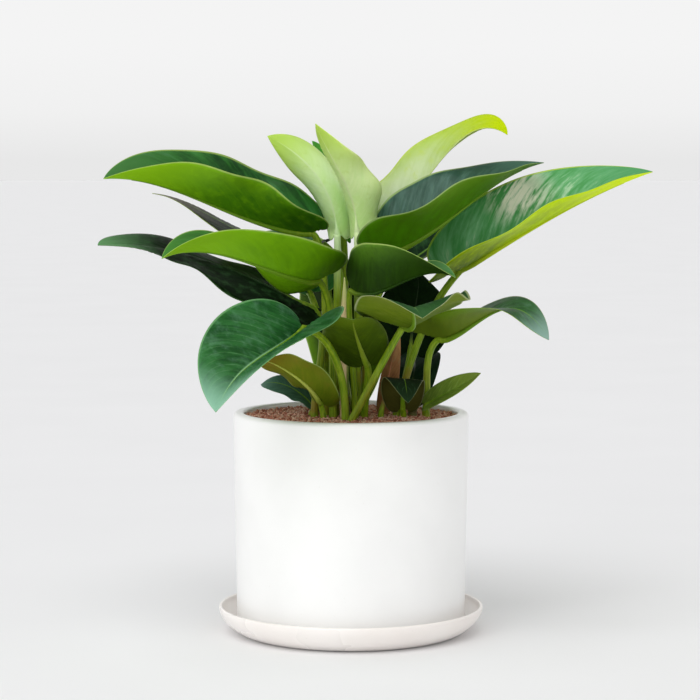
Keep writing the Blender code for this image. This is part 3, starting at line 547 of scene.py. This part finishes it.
class Midrib:
    def __init__(self, size):
        collar = np.array(size["collar"]) * mm
        tip = np.array(size["tip"]) * mm
        chord = tip - collar
        ahead = unit(chord)
        side = unit(np.cross(ahead, (0, 0, 1)))
        up = np.cross(side, ahead)
        lift = np.array(size["lift"]) * mm
        sway = np.array(size["sway"]) * mm
        first = collar + chord / 3 + up * lift[0] + side * sway[0]
        second = collar + chord * 2 / 3 + up * lift[1] + side * sway[1]
        count = blade["stations"]
        self.size = size
        self.points = evenPoints(bezier(collar, first, second, tip, blade["samples"]), count)
        self.length = np.linalg.norm(np.diff(self.points, axis=0), axis=1).sum()
        self.ahead = unit(np.gradient(self.points, axis=0))
        sides = [unit(np.cross(self.ahead[0], (0, 0, 1)))]
        for direction in self.ahead[1:]:
            sides.append(unit(sides[-1] - direction * (sides[-1] @ direction)))
        sides = np.array(sides)
        tops = np.cross(sides, self.ahead)
        turn = np.radians(np.linspace(size["roll"][0], size["roll"][1], count))[:, None]
        self.side = sides * np.cos(turn) + tops * np.sin(turn)
        self.top = np.cross(self.side, self.ahead)

    def at(self, table, share):
        stations = np.linspace(0, 1, len(table))
        return np.stack([np.interp(share, stations, table[:, k]) for k in range(3)], axis=-1)

    def half(self, hand):
        return self.size["width"] * mm * (self.size["rightShare"] if hand > 0 else 1.0)

    def surface(self, share, reach, hand):    # hand is -1 on the left and 1 on the right
        size = self.size
        which = 1 if hand > 0 else 0
        onRib = np.clip(share, 0, 1)
        rib = self.at(self.points, share)
        rib = rib + self.at(self.ahead, share) * (np.minimum(share, 0) * self.length)[..., None]
        fold = size["fold"][which]
        start = np.radians(fold[0] + (fold[1] - fold[0]) * onRib)
        curl = size["curl"][which] + (size["curlTip"][which] - size["curl"][which]) * onRib
        curl = np.where(np.abs(curl) < blade["leastCurl"], blade["leastCurl"], curl)
        bend = np.radians(curl) / self.half(hand)
        angle = start + bend * reach
        outward = (np.sin(angle) - np.sin(start)) / bend
        rise = (np.cos(start) - np.cos(angle)) / bend
        amount = size["wave"][which] * mm * (reach / self.half(hand)) ** 2
        wave = amount * np.sin(2 * pi * blade["waves"] * share)
        outward = outward - wave * np.sin(angle)
        rise = rise + wave * np.cos(angle)
        return (rib + self.at(self.side, share) * (hand * outward)[..., None]
                + self.at(self.top, share) * rise[..., None])

    def grid(self):
        rows = np.linspace(0, 1, blade["rows"]) ** blade["rowSpread"]
        share = blade["start"] + (1 - blade["start"]) * rows
        width = hump(share, self.size["blunt"], blade["taper"])
        pull = hump(share, blade["lobeRise"], blade["lobeFall"])
        across = np.linspace(0, 1, blade["columns"]) ** blade["columnSpread"]
        halves = []
        for hand, lobe in zip((-1, 1), self.size["lobe"]):
            half = np.maximum(width * self.half(hand), blade["tipHalf"])
            lengthwise = share[:, None] - lobe * pull[:, None] * across[None] ** blade["sweep"]
            halves.append(self.surface(lengthwise, half[:, None] * across[None], hand))
        points = np.concatenate([halves[0][:, ::-1], halves[1][:, 1:]], axis=1)
        sideways = np.concatenate([-across[::-1], across[1:]])
        return points, share, sideways


def bladeMesh(rib, seed):
    points, share, sideways = rib.grid()
    normals = unit(np.cross(np.gradient(points, axis=1), np.gradient(points, axis=0)))
    out = np.abs(sideways)[None]
    long = share[:, None]
    run = (long - out ** veins["bow"] * veins["sweep"]) * veins["count"]
    calm = (fade(out, relief["calmRib"]) * fade(1 - out, relief["calmEdge"])
            * fade(1 - long, relief["calmEdge"]))
    lengthwise, sidewise = relief["ripples"]
    ripple = [[noise.noise(Vector((s * lengthwise, w * sidewise, seed))) for w in sideways] for s in share]
    swell = relief["pucker"] * np.cos(2 * pi * run) - relief["ripple"] * np.array(ripple)
    points = points + normals * (swell * calm * rib.size["width"] / relief["forWidth"])[..., None]
    groove = relief["groove"] * np.exp(-(out / relief["grooveHalf"]) ** 2)
    groove = groove * fade(1 - long, relief["grooveEnd"])
    thin = blade["thickness"] / 2 * (1 - relief["thinEdge"] * out ** relief["thinPower"])    # half of it
    top = points + normals * (thin - groove)[..., None]
    low = points - normals * thin[..., None]
    rows, columns = points.shape[:2]
    count = rows * columns
    index = np.arange(count).reshape(rows, columns)
    a, b, c, d = (index[:-1, :-1], index[:-1, 1:], index[1:, 1:], index[1:, :-1])
    upper = np.stack([a, b, c, d], axis=-1).reshape(-1, 4)
    lower = upper[:, ::-1] + count
    ring = [*index[0], *index[1:, -1], *index[-1, :-1][::-1], *index[1:-1, 0][::-1]]
    edge = [(ring[k], ring[k - 1], ring[k - 1] + count, ring[k] + count) for k in range(len(ring))]
    faces = [*upper.tolist(), *lower.tolist(), *edge]
    points = np.concatenate([top.reshape(-1, 3), low.reshape(-1, 3)])
    traits = {"along": np.tile(np.repeat(share, columns), 2),
              "across": np.tile(sideways, rows * 2),
              "under": np.repeat([0.0, 1.0], count)}
    return points, faces, traits


def tubeMesh(path, radii, sides):
    ahead = unit(np.gradient(path, axis=0))
    side = [unit(np.cross(ahead[0], (0.3, 1, 0.1)))]
    for direction in ahead[1:]:
        side.append(unit(side[-1] - direction * (side[-1] @ direction)))
    side = np.array(side)
    other = np.cross(ahead, side)
    angle = np.linspace(0, 2 * pi, sides, endpoint=False)[None, :, None]
    ring = side[:, None] * np.cos(angle) + other[:, None] * np.sin(angle)
    points = (path[:, None] + ring * np.asarray(radii)[:, None, None]).reshape(-1, 3)
    faces = []
    for k in range(len(path) - 1):
        for j in range(sides):
            n = (j + 1) % sides
            faces.append((k * sides + j, k * sides + n, (k + 1) * sides + n, (k + 1) * sides + j))
    last = (len(path) - 1) * sides
    faces.append(tuple(range(sides))[::-1])
    faces.append(tuple(range(last, last + sides)))
    return points, faces


def footPoint(place):    # where a stalk or a stem comes out of the granules
    return np.array((place[0] * mm, place[1] * mm, soilTop))


def stalkPath(size, rib):
    collar = rib.points[0]
    foot = footPoint(size["foot"])
    straight = unit(collar - foot)
    lean = size["lean"]
    height = np.linalg.norm(collar - foot)
    leave = unit(np.array((straight[0] * lean, straight[1] * lean, max(straight[2], stalk["leastRise"]))))
    arrive = unit(rib.ahead[0] * stalk["follow"] + straight * (1 - stalk["follow"]))
    first = foot + leave * height * size["reach"][0]
    second = collar - arrive * height * size["reach"][1]
    bow = bezier(foot, first, second, collar, stalk["points"])
    down = np.array((0, 0, rootDepth))
    return np.concatenate([[foot - down, foot - down * stalk["rootRing"]], bow])


def stalkMesh(rib, ribShare):
    size = rib.size
    thick, thin = stalk["slimRadii"] if size["width"] < stalk["slimUnder"] else stalk["radii"]
    path = stalkPath(size, rib)
    stations = np.linspace(0, ribShare, stalk["ribPoints"])[1:]
    inRib = rib.at(rib.points, stations)
    slimmer = stalk["ribEnd"] + (thin - stalk["ribEnd"]) * (1 - stations / ribShare) ** stalk["ribTaper"]
    radii = np.concatenate([[thick, thick], np.linspace(thick, thin, stalk["points"]), slimmer])
    sink = slimmer * stalk["ribSink"] * fade(stations, stalk["sinkOver"])    # the rib stands out below
    inRib = inRib - rib.at(rib.top, stations) * sink[:, None]
    points, faces = tubeMesh(np.concatenate([path, inRib]), radii, stalk["sides"])
    rings = len(path) + len(stations)
    along = np.repeat(np.linspace(0, 1, rings), stalk["sides"])
    across = np.tile(np.cos(np.linspace(0, 2 * pi, stalk["sides"], endpoint=False)), rings)
    return points, faces, {"along": along, "across": across, "under": np.ones(len(points))}


def stand(piece, node):
    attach(piece, "root")
    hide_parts(node)


def makePiece(node, points, faces, traits, materials, places=None):
    mesh = bpy.data.meshes.new(node + "_fine")
    mesh.from_pydata([tuple(p) for p in points], [], faces)
    for key, values in traits.items():
        layer = mesh.attributes.new(key, "FLOAT", "POINT")
        layer.data.foreach_set("value", np.asarray(values, dtype=np.float32))
    for material in materials:
        mesh.materials.append(material)
    if places:
        mesh.polygons.foreach_set("material_index", places)
    mesh.shade_smooth()
    mesh.update()
    stand(addObject(node + "_fine", mesh), node)


def makeLeaf(name, size, seed):
    look = {**plainLeaf, **leafLooks[name]}
    young = look["clear"] > 0
    rib = Midrib({**plainSize, **size})
    bladePoints, bladeFaces, bladeTraits = bladeMesh(rib, seed)
    stalkPoints, stalkFaces, stalkTraits = stalkMesh(rib, stalk["youngRib"] if young else stalk["ribShare"])
    shift = len(bladePoints)
    faces = bladeFaces + [tuple(i + shift for i in face) for face in stalkFaces]
    traits = {key: np.concatenate([bladeTraits[key], stalkTraits[key]]) for key in bladeTraits}
    fades = stalk["youngFades"] if young else stalk["ribFades"]
    materials = [leafFinish(name + "Skin", look, seed),
                 stalkFinish(name + "Stalk", seed, look["rib"], fades)]
    places = [0] * len(bladeFaces) + [1] * len(stalkFaces)
    makePiece(name, np.concatenate([bladePoints, stalkPoints]), faces, traits, materials, places)


for number, (leafName, leafSize) in enumerate(leaves.items()):
    makeLeaf(leafName, leafSize, number * blade["seedStep"] + blade["firstSeed"])
print("leaves made:", len(leaves))


# rolled new leaf, in millimetres, and the short stems

spear = {"foot": (-7.5, -15), "middle": (-6.5, -16, 330), "tip": (-7, -23, 394), "sides": 18,
         "rings": (12, 24), "radii": (4.3, 4.3, 4.8, 4.0, 0.7), "radiiAt": (0, 1, 12, 24, 35),
         "lap": 1.06, "lapTwist": 22, "lapFrom": 0.86,    # the wrapped edge that winds up it
         "green": (140, 168, 66), "warm": (250, 218, 166), "warmSide": 225,
         "upper": (196, 208, 120), "streak": (206, 206, 160), "gloss": 0.42}
stems = {"stem_main": {"foot": (-6, 9), "top": 262, "radius": 6.2, "rings": 3},
         "stem_side": {"foot": (68, 4), "top": 258, "radius": 5.7, "rings": 2}}
stemShape = {"steps": 40, "sides": 28, "mean": 0.91, "swell": 0.07, "crownFrom": 0.86, "crown": 0.15}


def spearFinish():
    paint = Paint("spearFinish")
    streaks = paint.noise(220, 3, 0.6, paint.place(scale=(1, 1, 0.08)))
    colour = paint.layers(
        tint(*spear["green"]),
        (paint.trait("around").step(0.45, 0.80), tint(*spear["warm"])),
        (paint.trait("along").step(0.55, 0.85) * 0.8, tint(*spear["upper"])),
        (streaks.step(0.45, 0.75) * 0.5, tint(*spear["streak"])))
    paint.set(colour=colour, rough=spear["gloss"], bump=paint.bump(streaks, 0.3, 0.0004))
    return paint.material


def makeSpear():
    foot = footPoint(spear["foot"])
    middle, tip = np.array(spear["middle"]) * mm, np.array(spear["tip"]) * mm
    low, high = (np.linspace(0, 1, count)[:, None] for count in spear["rings"])
    path = np.concatenate([[foot - (0, 0, rootDepth)], foot + (middle - foot) * low,
                           middle + (tip - middle) * high[1:]])
    radii = np.interp(np.arange(len(path)), spear["radiiAt"], np.array(spear["radii"]) * mm)
    sides = spear["sides"]
    points, faces = tubeMesh(path, radii, sides)
    axis = np.repeat(path, sides, axis=0)
    turn = np.arctan2(points[:, 1] - axis[:, 1], points[:, 0] - axis[:, 0])
    onLap = np.cos(turn + points[:, 2] * spear["lapTwist"]) > spear["lapFrom"]
    points = axis + (points - axis) * np.where(onLap, spear["lap"], 1.0)[:, None]
    traits = {"along": np.repeat(np.linspace(0, 1, len(path)), sides),
              "around": 0.5 + 0.5 * np.cos(turn - radians(spear["warmSide"]))}
    makePiece("new_leaf_spear", points, faces, traits, [spearFinish()])


def makeStem(name, size):
    foot = footPoint(size["foot"])
    top = size["top"] * mm
    heights = np.concatenate([[soilTop - rootDepth], np.linspace(soilTop, top, stemShape["steps"])])
    level = fade(heights - soilTop, top - soilTop)
    swell = stemShape["mean"] + stemShape["swell"] * np.cos(2 * pi * (level * size["rings"] + 0.2)) ** 3
    inCrown = fade(level - stemShape["crownFrom"], stemShape["crown"])
    crown = np.sqrt(np.clip(1 - inCrown ** 2, 0.02, 1))
    path = np.stack([np.full(len(heights), foot[0]), np.full(len(heights), foot[1]), heights], axis=1)
    points, faces = tubeMesh(path, size["radius"] * mm * swell * crown, stemShape["sides"])
    makePiece(name, points, faces, {}, [grainFinish("stemFinish")])


makeSpear()
for stemName, stemSize in stems.items():
    makeStem(stemName, stemSize)
print("spear and stems made")


# pot and saucer, turned finely from the same profiles as the solids

pot = {"top": 0.245, "topRadius": 0.130, "bottomRadius": 0.1265, "wall": 0.012, "bottom": 0.0053,
       "floor": 0.014, "corner": 0.011, "innerCorner": 0.006, "lip": 0.005, "innerLip": 0.003, "steps": 160}
saucer = {"height": 0.030, "rim": 0.1465, "base": 0.118, "floor": 0.005, "wall": 0.0035, "bulge": 0.7,
          "floorEdge": 0.002, "footEdge": 0.0005, "corner": 0.0008, "steps": 22}
glazes = {"pot": {"light": (251, 251, 250), "shade": (246, 246, 245), "rough": 0.26},
          "saucer": {"light": (250, 245, 241), "shade": (245, 238, 233), "rough": 0.24}}
glazeLayer = {"speck": (206, 198, 188), "specks": 0.25, "coat": 0.30, "coatRough": 0.22}


def arc(centre, radius, start, stop, count):
    return [(centre[0] + radius * cos(radians(a)), centre[1] + radius * sin(radians(a)))
            for a in np.linspace(start, stop, count)]


def bodyMesh(name, body):
    mesh = bpy.data.meshes.new(name)
    body.to_mesh(mesh)
    body.free()
    return mesh


def turnedPiece(node, profile):
    body = bmesh.new()
    line = [body.verts.new((max(r, 0), 0, z)) for r, z in profile]
    edges = [body.edges.new(pair) for pair in zip(line, line[1:])]
    bmesh.ops.spin(body, geom=[*line, *edges], cent=(0, 0, 0), axis=(0, 0, 1), angle=2 * pi,
                   steps=pot["steps"], use_merge=True)
    bmesh.ops.remove_doubles(body, verts=body.verts, dist=1e-6)
    bmesh.ops.recalc_face_normals(body, faces=body.faces)
    mesh = bodyMesh(node + "_fine", body)
    mesh.materials.append(glaze(node + "Glaze", glazes[node]))
    mesh.shade_smooth()
    stand(addObject(node + "_fine", mesh), node)


def glaze(name, look):
    paint = Paint(name)
    cloud = paint.noise(9, 3, 0.5)
    speck = paint.noise(420, 2, 0.5)
    waves = paint.noise(26, 2, 0.4)
    colour = paint.layers(
        tint(*look["light"]),
        (cloud.step(0.35, 0.70), tint(*look["shade"])),
        (speck.step(0.70, 0.80) * glazeLayer["specks"], tint(*glazeLayer["speck"])))
    paint.set(colour=colour, rough=look["rough"] + cloud * 0.08,
              bump=paint.bump(waves * 0.8 + speck * 0.2, 0.05, 0.0003),
              coat=glazeLayer["coat"], coatRough=glazeLayer["coatRough"])
    return paint.material


def makePot():
    top, low = pot["topRadius"], pot["bottomRadius"]
    inside = top - pot["wall"]
    lip = arc((top - pot["lip"], pot["top"] - pot["lip"]), pot["lip"], 90, 0, 9)
    corner = arc((low - pot["corner"], pot["bottom"] + pot["corner"]), pot["corner"], 0, -90, 10)
    inner = [(inside - pot["innerCorner"], pot["floor"]), (inside, pot["floor"] + pot["innerCorner"])]
    back = arc((inside + pot["innerLip"], pot["top"] - pot["innerLip"]), pot["innerLip"], 180, 90, 6)
    profile = [*lip, *corner, (0, pot["bottom"]), (0, pot["floor"]), *inner, *back, lip[0]]
    turnedPiece("pot", profile)


def makeSaucer():
    spread = saucer["rim"] - saucer["base"]
    rise = saucer["height"] - saucer["wall"] / 2
    angles = np.radians(np.linspace(90, 4, saucer["steps"]))
    side = np.stack([saucer["base"] + spread * np.sin(angles),
                     rise * (1 - np.cos(angles)) ** saucer["bulge"]], axis=1)
    flow = unit(np.gradient(side, axis=0))
    inside = side + saucer["wall"] * np.stack([flow[:, 1], -flow[:, 0]], axis=1)
    inside = [tuple(p) for p in inside[2:] if p[1] > saucer["floor"] + saucer["corner"]]
    edge = arc((saucer["rim"] - saucer["wall"] / 2, rise), saucer["wall"] / 2, 180, 0, 9)[:-1]
    floor = [(0, saucer["floor"]), (saucer["base"] + saucer["floorEdge"], saucer["floor"])]
    base = [(saucer["base"] - saucer["footEdge"], 0), (0, 0)]
    profile = [*edge, *[tuple(p) for p in side], *base, *floor, *inside[::-1], edge[0]]
    turnedPiece("saucer", profile)


makePot()
makeSaucer()
print("pot and saucer made")


# growing mix, and clay granules scattered over their bed

granules = {"bedTop": 0.2375, "radius": 0.1175, "rings": 50, "spokes": 120,    # of the bed under the chips
            "swells": ((40, 5, 0.0009), (320, 2, 0.0004)),    # of the bed: scale, layer of the noise, height
            "spacing": 0.0035, "size": 0.0024, "rise": 0.0017, "density": 2.6e5, "seed": 11,
            "least": (0.60, 0.55, 0.50), "most": (1.25, 1.10, 0.95)}    # stretch of a chip
clay = {"ramp": ((0.0, (146, 84, 66)), (0.35, (212, 142, 116)),
                 (0.70, (240, 188, 162)), (1.0, (246, 208, 182))),
        "pores": (70, 36, 28)}


def clayFinish():    # every chip has its own shade
    paint = Paint("clayFinish")
    pores = paint.noise(1100, 3, 0.6)
    ramp = {"stops": [(place, tint(*colour)) for place, colour in clay["ramp"]]}
    colour = paint.add("ShaderNodeValToRGB", ramp, {"Fac": paint.trait("shade")})
    colour = paint.blend(pores.step(0.35, 0.60) * 0.6 + 0.4, tint(*clay["pores"]), colour)
    paint.set(colour=colour, rough=0.88, bump=paint.bump(pores, 0.5, 0.0006), specular=0.2)
    return paint.material


def putInputs(modifier, values):
    for item in modifier.node_group.interface.items_tree:
        if item.item_type == "SOCKET" and item.in_out == "INPUT" and item.name in values:
            modifier[item.identifier] = values[item.name]


def granuleTree(bedMaterial, chipMaterial):
    tree = bpy.data.node_groups.new("scatterGranules", "GeometryNodeTree")
    face = tree.interface
    face.new_socket("Geometry", in_out="INPUT", socket_type="NodeSocketGeometry")
    inputs = (("Spacing", "Float"), ("Size", "Float"), ("Rise", "Vector"), ("Seed", "Int"))
    for name, kind in inputs:
        face.new_socket(name, in_out="INPUT", socket_type="NodeSocket" + kind)
    face.new_socket("Geometry", in_out="OUTPUT", socket_type="NodeSocketGeometry")

    def node(kind, settings=None, **values):
        made = tree.nodes.new(kind)
        for key, value in (settings or {}).items():
            setattr(made, key, value)
        for key, value in values.items():
            made.inputs[key].default_value = value
        return made

    entry, end = node("NodeGroupInput"), node("NodeGroupOutput")
    scatter = node("GeometryNodeDistributePointsOnFaces", {"distribute_method": "POISSON"})
    scatter.inputs["Density Max"].default_value = granules["density"]
    lift = node("GeometryNodeSetPosition")
    chip = node("GeometryNodeMeshIcoSphere", Subdivisions=1)
    spread = node("GeometryNodeInstanceOnPoints")
    turn = node("FunctionNodeRandomValue", {"data_type": "FLOAT_VECTOR"}, Max=(2 * pi, 2 * pi, 2 * pi))
    stretch = node("FunctionNodeRandomValue", {"data_type": "FLOAT_VECTOR"}, Min=granules["least"],
                   Max=granules["most"])
    shade = node("FunctionNodeRandomValue", {"data_type": "FLOAT"})
    store = node("GeometryNodeStoreNamedAttribute", {"data_type": "FLOAT", "domain": "INSTANCE"},
                 Name="shade")
    realize = node("GeometryNodeRealizeInstances")
    dressChips = node("GeometryNodeSetMaterial", Material=chipMaterial)
    dressBed = node("GeometryNodeSetMaterial", Material=bedMaterial)
    join = node("GeometryNodeJoinGeometry")
    wiring = [(entry, "Geometry", scatter, "Mesh"), (entry, "Spacing", scatter, "Distance Min"),
              (entry, "Seed", scatter, "Seed"), (scatter, "Points", lift, "Geometry"),
              (entry, "Rise", lift, "Offset"), (entry, "Size", chip, "Radius"), (entry, "Seed", turn, "Seed"),
              (lift, "Geometry", spread, "Points"), (chip, "Mesh", spread, "Instance"),
              (turn, "Value", spread, "Rotation"), (stretch, "Value", spread, "Scale"),
              (spread, "Instances", store, "Geometry"), (store, "Geometry", realize, "Geometry"),
              (realize, "Geometry", dressChips, "Geometry"), (entry, "Geometry", dressBed, "Geometry"),
              (dressBed, "Geometry", join, "Geometry"), (dressChips, "Geometry", join, "Geometry"),
              (join, "Geometry", end, "Geometry")]
    for source, out, target, into in wiring:
        tree.links.new(source.outputs[out], target.inputs[into])
    number = next(socket for socket in shade.outputs if socket.enabled)
    slot = next(socket for socket in store.inputs if socket.name == "Value" and socket.enabled)
    tree.links.new(number, slot)    # both have a socket for each kind of value, and only one is in use
    return tree


def granuleBed():
    body = bmesh.new()
    bmesh.ops.create_circle(body, cap_ends=True, cap_tris=True, segments=granules["spokes"],
                            radius=granules["radius"])
    inner = [edge for edge in body.edges if not edge.is_boundary]
    bmesh.ops.subdivide_edges(body, edges=inner, cuts=granules["rings"])
    for vert in body.verts:
        x, y = vert.co.x, vert.co.y
        vert.co.z = granules["bedTop"] + sum(height * noise.noise(Vector((x * scale, y * scale, layer)))
                                             for scale, layer, height in granules["swells"])
    return addObject("granuleBed", bodyMesh("granuleBed", body))


def makeGranules():
    bed = granuleBed()
    scatter = bed.modifiers.new("scatter", "NODES")
    scatter.node_group = granuleTree(grainFinish("bedFinish"), clayFinish())
    putInputs(scatter, {"Spacing": granules["spacing"], "Size": granules["size"],
                        "Rise": (0, 0, granules["rise"]), "Seed": granules["seed"]})
    bpy.context.view_layer.update()
    mesh = bpy.data.meshes.new_from_object(bed.evaluated_get(bpy.context.evaluated_depsgraph_get()))
    mesh.name = "clay_granules_fine"
    bpy.data.objects.remove(bed, do_unlink=True)
    stand(addObject("clay_granules_fine", mesh), "clay_granules")
    print("granules:", sum(len(face.vertices) - 2 for face in mesh.polygons), "triangles")


makeGranules()
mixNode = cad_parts["growing_mix"]
mixNode.data.materials.clear()
mixNode.data.materials.append(grainFinish("mixFinish"))
print("filling made")


# floor and studio light

studio = {"floor": (246, 246, 247), "cloud": (242, 242, 243), "reach": 60, "floorDrop": 0.0005,
          "sun": 1.36, "sunSpread": 50, "sunFrom": (-0.15, -0.43, 0.89),
          "fill": 13, "fillSize": 1.6, "fillPlace": (-1.4, -2.4, 0.9), "fillAim": (0, 0, 0.15)}

# brightness of the sky by the height of the look: 0 is level, 1 straight up
sky = [(0.0, 0.806), (0.02, 0.875), (0.045, 0.905), (0.30, 0.90), (0.75, 0.36)]


def makeStage():
    body = bmesh.new()
    bmesh.ops.create_grid(body, x_segments=1, y_segments=1, size=studio["reach"])
    mesh = bodyMesh("floor", body)
    paint = Paint("floorFinish")
    colour = paint.blend(paint.noise(3, 2, 0.5), tint(*studio["floor"]), tint(*studio["cloud"]))
    paint.set(colour=colour, rough=0.8, specular=0.1)
    mesh.materials.append(paint.material)
    floor = addObject("floor", mesh)
    floor.location.z = -studio["floorDrop"]


def makeWorld():
    world = bpy.data.worlds.new("studioWorld")
    world.use_nodes = True
    tree = world.node_tree
    direction = tree.nodes.new("ShaderNodeTexCoord")
    split = tree.nodes.new("ShaderNodeSeparateXYZ")
    ramp = tree.nodes.new("ShaderNodeValToRGB")
    setStops(ramp.color_ramp, [(height, (level, level, level)) for height, level in sky])
    tree.links.new(direction.outputs["Generated"], split.inputs[0])
    tree.links.new(split.outputs["Z"], ramp.inputs[0])
    tree.links.new(ramp.outputs[0], tree.nodes["Background"].inputs["Color"])
    bpy.context.scene.world = world


def addLight(name, kind, place, aim, **settings):
    data = bpy.data.lights.new(name, kind)
    for key, value in settings.items():
        setattr(data, key, value)
    light = addObject(name, data)
    light.location = place
    light.rotation_euler = (Vector(place) - Vector(aim)).to_track_quat("Z", "Y").to_euler()


makeStage()
makeWorld()
addLight("softSun", "SUN", studio["sunFrom"], (0, 0, 0), energy=studio["sun"],
         angle=radians(studio["sunSpread"]))
addLight("frontFill", "AREA", studio["fillPlace"], studio["fillAim"], shape="DISK",
         size=studio["fillSize"], energy=studio["fill"])
bpy.context.scene.view_settings.view_transform = "Standard"
print("studio made")
